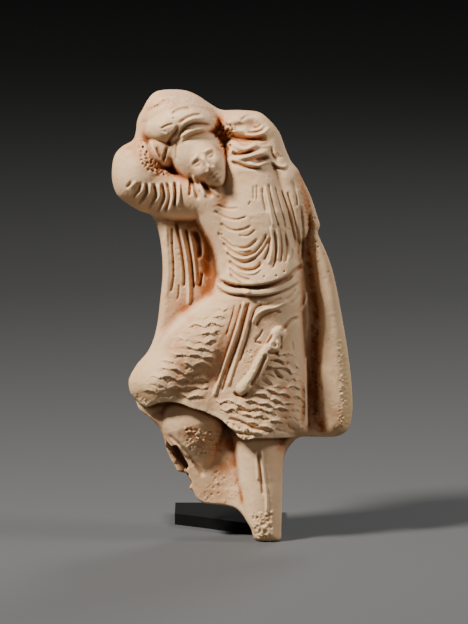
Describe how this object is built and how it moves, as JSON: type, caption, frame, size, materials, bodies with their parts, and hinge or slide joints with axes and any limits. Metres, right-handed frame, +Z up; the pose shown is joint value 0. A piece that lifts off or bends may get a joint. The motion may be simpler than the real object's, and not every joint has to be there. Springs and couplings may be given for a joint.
{
  "type": "terracotta statuette of a dancer",
  "caption": "Hollow mould-made terracotta figure of a dancer in cap, belted tunic and cloak, broken below the knees, on a black post-and-plate display mount.",
  "frame": {"origin": "on the ground, under the centre of the whole object's box", "axes": "+Z up, the dancer faces -Y, +X is to the viewer's right"},
  "size_m": [0.1066, 0.0864, 0.1997],
  "materials": {
    "fired_clay": "unglazed fired clay, worn matt, buff with orange in the recesses and a pale yellow crust",
    "mount_black": "matt black paint on steel"
  },
  "bodies": {
    "root": {"statuette": "fired_clay", "support_post": "mount_black", "support_foot": "mount_black"}
  },
  "joints": []
}
